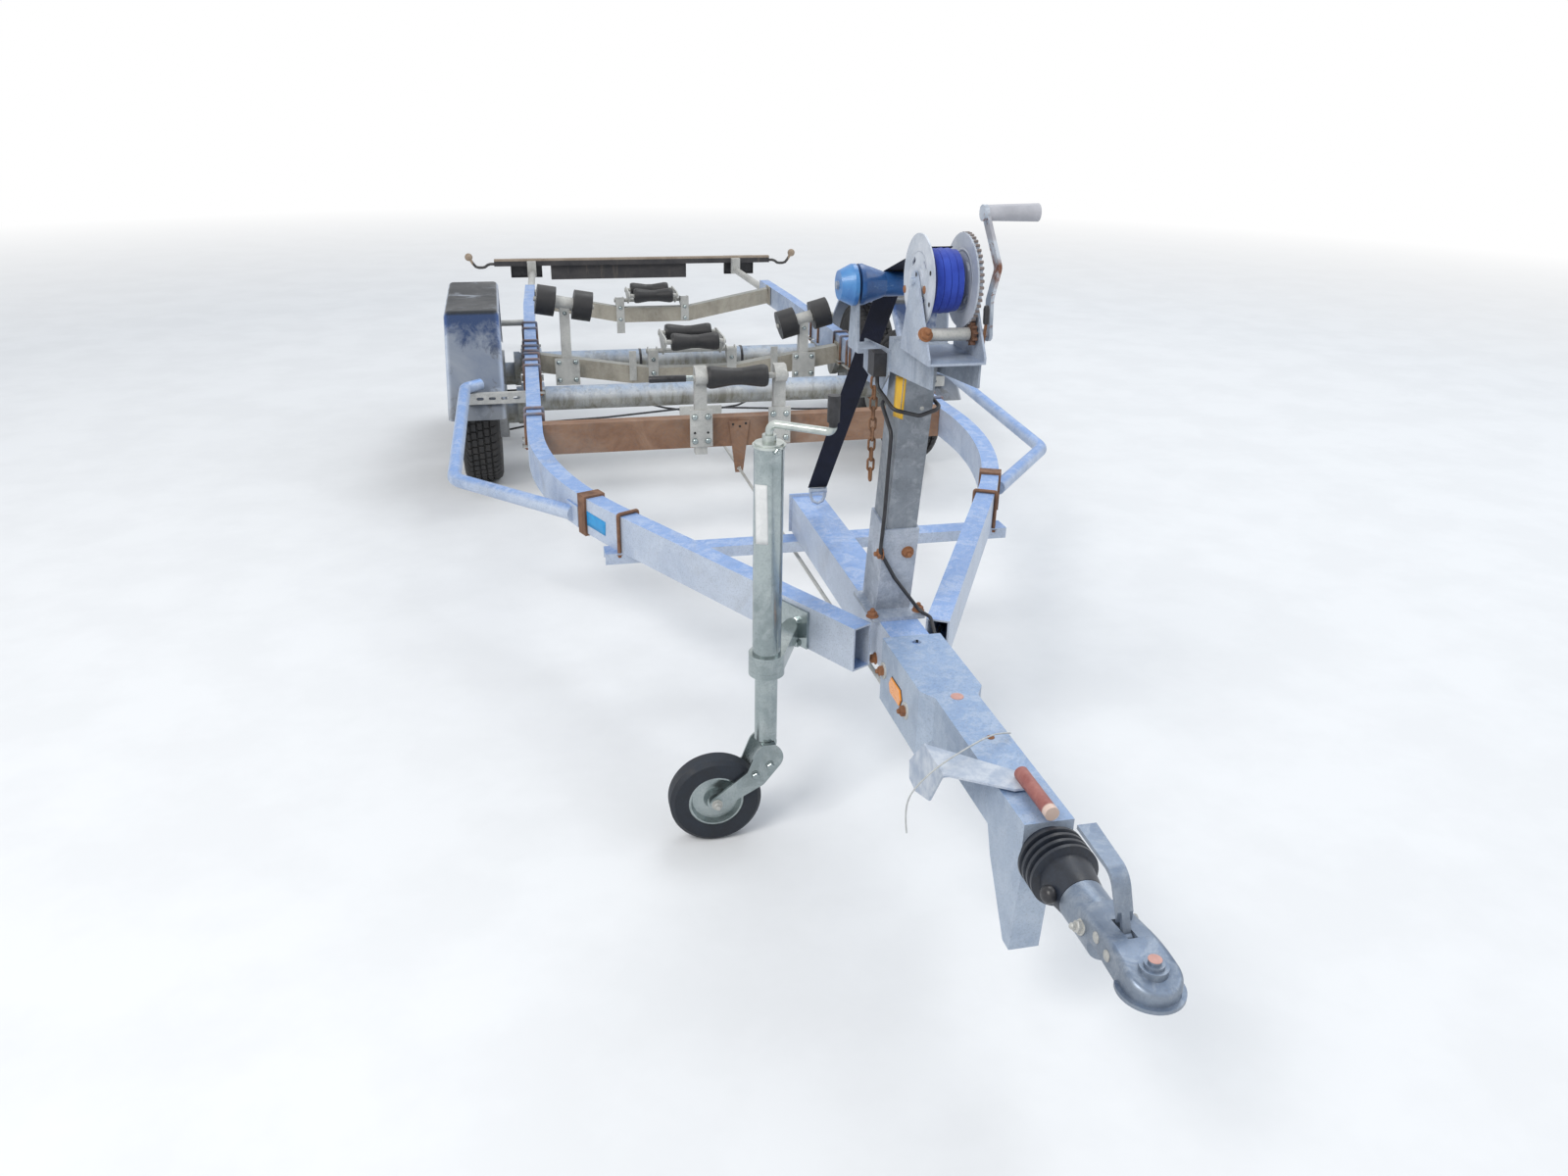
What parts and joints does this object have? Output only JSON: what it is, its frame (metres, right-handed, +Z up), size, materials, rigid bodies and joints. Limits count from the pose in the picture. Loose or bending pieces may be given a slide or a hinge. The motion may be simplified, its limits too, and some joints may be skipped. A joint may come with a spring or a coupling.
{
  "type": "boat trailer",
  "caption": "Twin-axle boat trailer with bent rails, mudguards, keel and side rollers, winch post, jockey wheel, overrun coupling and rear light board.",
  "frame": {"origin": "on the floor, below the middle of the trailer, midway between the coupling's nose and the rear lamps", "axes": "+X across to the trailer's left side, +Y along the trailer from the coupling to the lamps, +Z up"},
  "size_m": [2.01, 6.299, 1.3474],
  "materials": {
    "black_rubber": "matt black",
    "galvanised_steel": "dull spangled zinc, blue grey",
    "blue_roller": "blue, worn",
    "cable_black": "black cable",
    "rusty_steel": "dull brown rust",
    "zinc_bright": "bright zinc",
    "red_grip": "faded red",
    "wheel_steel": "grey silver, dull",
    "tyre_rubber": "matt black, dusty",
    "lamp_plastic": "red and amber lamp glass look",
    "mudguard_plastic": "glossy blue white with dirt runs",
    "board_plastic": "pale grey, weathered",
    "weathered_beige_steel": "dull beige grey, weathered",
    "strap_webbing": "woven navy webbing"
  },
  "bodies": {
    "chassis": {"bellows": "black_rubber", "board_tubes": "galvanised_steel", "brake_cables": "cable_black", "brake_linkage": "rusty_steel", "centre_tube": "galvanised_steel", "coupling_handle": "zinc_bright", "coupling_head": "galvanised_steel", "front_axle": "galvanised_steel", "front_crossmember": "galvanised_steel", "guard_tubes": "galvanised_steel", "handbrake_lever": "red_grip", "jockey_clamp": "galvanised_steel", "jockey_crank": "zinc_bright", "jockey_outer_tube": "zinc_bright", "keel_crossbeam": "rusty_steel", "lamps_and_reflectors": "lamp_plastic", "left_mudguard": "mudguard_plastic", "left_rail": "galvanised_steel", "light_board": "board_plastic", "lighting_cable": "cable_black", "middle_v_beam": "weathered_beige_steel", "mudguard_brackets": "galvanised_steel", "overrun_housing": "galvanised_steel", "rail_clamps": "rusty_steel", "rear_axle": "galvanised_steel", "rear_v_beam": "weathered_beige_steel", "right_mudguard": "mudguard_plastic", "right_rail": "galvanised_steel", "roller_brackets": "galvanised_steel", "safety_chain": "rusty_steel", "winch_frame": "galvanised_steel", "winch_post": "galvanised_steel", "winch_post_socket": "galvanised_steel", "winch_strap": "strap_webbing", "winch_table": "galvanised_steel"},
    "jockey_leg": {"jockey_inner_tube": "zinc_bright"},
    "jockey_swivel_fork": {"jockey_fork": "zinc_bright"},
    "jockey_wheel": {"jockey_rim": "wheel_steel", "jockey_tyre": "tyre_rubber"},
    "winch_reel": {"winch_drum": "zinc_bright", "wound_strap": "strap_webbing"},
    "winch_handle": {"winch_crank": "zinc_bright"},
    "bow_spool": {"bow_roller": "blue_roller"},
    "keel_spool": {"front_keel_roller": "black_rubber"},
    "middle_rocker": {"middle_cradle": "galvanised_steel"},
    "middle_spool_front": {"middle_cradle_front_roller": "black_rubber"},
    "middle_spool_back": {"middle_cradle_back_roller": "black_rubber"},
    "rear_rocker": {"rear_cradle": "galvanised_steel"},
    "rear_spool_front": {"rear_cradle_front_roller": "black_rubber"},
    "rear_spool_back": {"rear_cradle_back_roller": "black_rubber"},
    "left_side_spools": {"left_side_rollers": "black_rubber"},
    "right_side_spools": {"right_side_rollers": "black_rubber"},
    "left_front_wheel": {"left_front_rim": "wheel_steel", "left_front_tyre": "tyre_rubber"},
    "left_rear_wheel": {"left_rear_rim": "wheel_steel", "left_rear_tyre": "tyre_rubber"},
    "right_front_wheel": {"right_front_rim": "wheel_steel", "right_front_tyre": "tyre_rubber"},
    "right_rear_wheel": {"right_rear_rim": "wheel_steel", "right_rear_tyre": "tyre_rubber"}
  },
  "joints": [
    {"name": "left_front_wheel_spin", "type": "hinge", "parent": "chassis", "child": "left_front_wheel", "pos_m": [0.898, 0.6125, 0.275], "axis": [1, 0, 0], "continuous": true},
    {"name": "left_rear_wheel_spin", "type": "hinge", "parent": "chassis", "child": "left_rear_wheel", "pos_m": [0.898, 1.2525, 0.275], "axis": [1, 0, 0], "continuous": true},
    {"name": "right_front_wheel_spin", "type": "hinge", "parent": "chassis", "child": "right_front_wheel", "pos_m": [-0.898, 0.6125, 0.275], "axis": [1, 0, 0], "continuous": true},
    {"name": "right_rear_wheel_spin", "type": "hinge", "parent": "chassis", "child": "right_rear_wheel", "pos_m": [-0.898, 1.2525, 0.275], "axis": [1, 0, 0], "continuous": true},
    {"name": "jockey_lift", "type": "slide", "parent": "chassis", "child": "jockey_leg", "axis": [0, 0, 1], "range_m": [0, 0.14]},
    {"name": "jockey_swivel", "type": "hinge", "parent": "jockey_leg", "child": "jockey_swivel_fork", "pos_m": [-0.288, -2.0225, 0.25], "axis": [0, 0, 1], "continuous": true},
    {"name": "jockey_wheel_spin", "type": "hinge", "parent": "jockey_swivel_fork", "child": "jockey_wheel", "pos_m": [-0.4, -2.0225, 0.1], "axis": [0, 1, 0], "continuous": true},
    {"name": "winch_drum_spin", "type": "hinge", "parent": "chassis", "child": "winch_reel", "pos_m": [0, -2.1525, 1.215], "axis": [1, 0, 0], "continuous": true},
    {"name": "winch_crank_spin", "type": "hinge", "parent": "chassis", "child": "winch_handle", "pos_m": [0, -2.2035, 1.13], "axis": [1, 0, 0], "continuous": true},
    {"name": "bow_roller_spin", "type": "hinge", "parent": "chassis", "child": "bow_spool", "pos_m": [0, -1.9075, 1.17], "axis": [1, 0, 0], "continuous": true},
    {"name": "keel_roller_spin", "type": "hinge", "parent": "chassis", "child": "keel_spool", "pos_m": [0, -0.4125, 0.631], "axis": [1, 0, 0], "continuous": true},
    {"name": "middle_cradle_rock", "type": "hinge", "parent": "chassis", "child": "middle_rocker", "pos_m": [0, 0.8775, 0.44], "axis": [1, 0, 0], "range_deg": [-8, 8]},
    {"name": "middle_cradle_front_roller_spin", "type": "hinge", "parent": "middle_rocker", "child": "middle_spool_front", "pos_m": [0, 0.7775, 0.496], "axis": [1, 0, 0], "continuous": true},
    {"name": "middle_cradle_back_roller_spin", "type": "hinge", "parent": "middle_rocker", "child": "middle_spool_back", "pos_m": [0, 0.9775, 0.496], "axis": [1, 0, 0], "continuous": true},
    {"name": "rear_cradle_rock", "type": "hinge", "parent": "chassis", "child": "rear_rocker", "pos_m": [0, 2.1875, 0.425], "axis": [1, 0, 0], "range_deg": [-8, 8]},
    {"name": "rear_cradle_front_roller_spin", "type": "hinge", "parent": "rear_rocker", "child": "rear_spool_front", "pos_m": [0, 2.0955, 0.462], "axis": [1, 0, 0], "continuous": true},
    {"name": "rear_cradle_back_roller_spin", "type": "hinge", "parent": "rear_rocker", "child": "rear_spool_back", "pos_m": [0, 2.2795, 0.462], "axis": [1, 0, 0], "continuous": true},
    {"name": "right_side_rollers_spin", "type": "hinge", "parent": "chassis", "child": "right_side_spools", "pos_m": [-0.535, 0.8273, 0.66], "axis": [0.9857, 0, -0.1685], "continuous": true},
    {"name": "left_side_rollers_spin", "type": "hinge", "parent": "chassis", "child": "left_side_spools", "pos_m": [0.481, 0.8273, 0.572], "axis": [0.9646, 0, 0.2639], "continuous": true}
  ],
  "couplings": [
    {"joint": "winch_crank_spin", "follows": "winch_drum_spin", "ratio": -4.6}
  ]
}
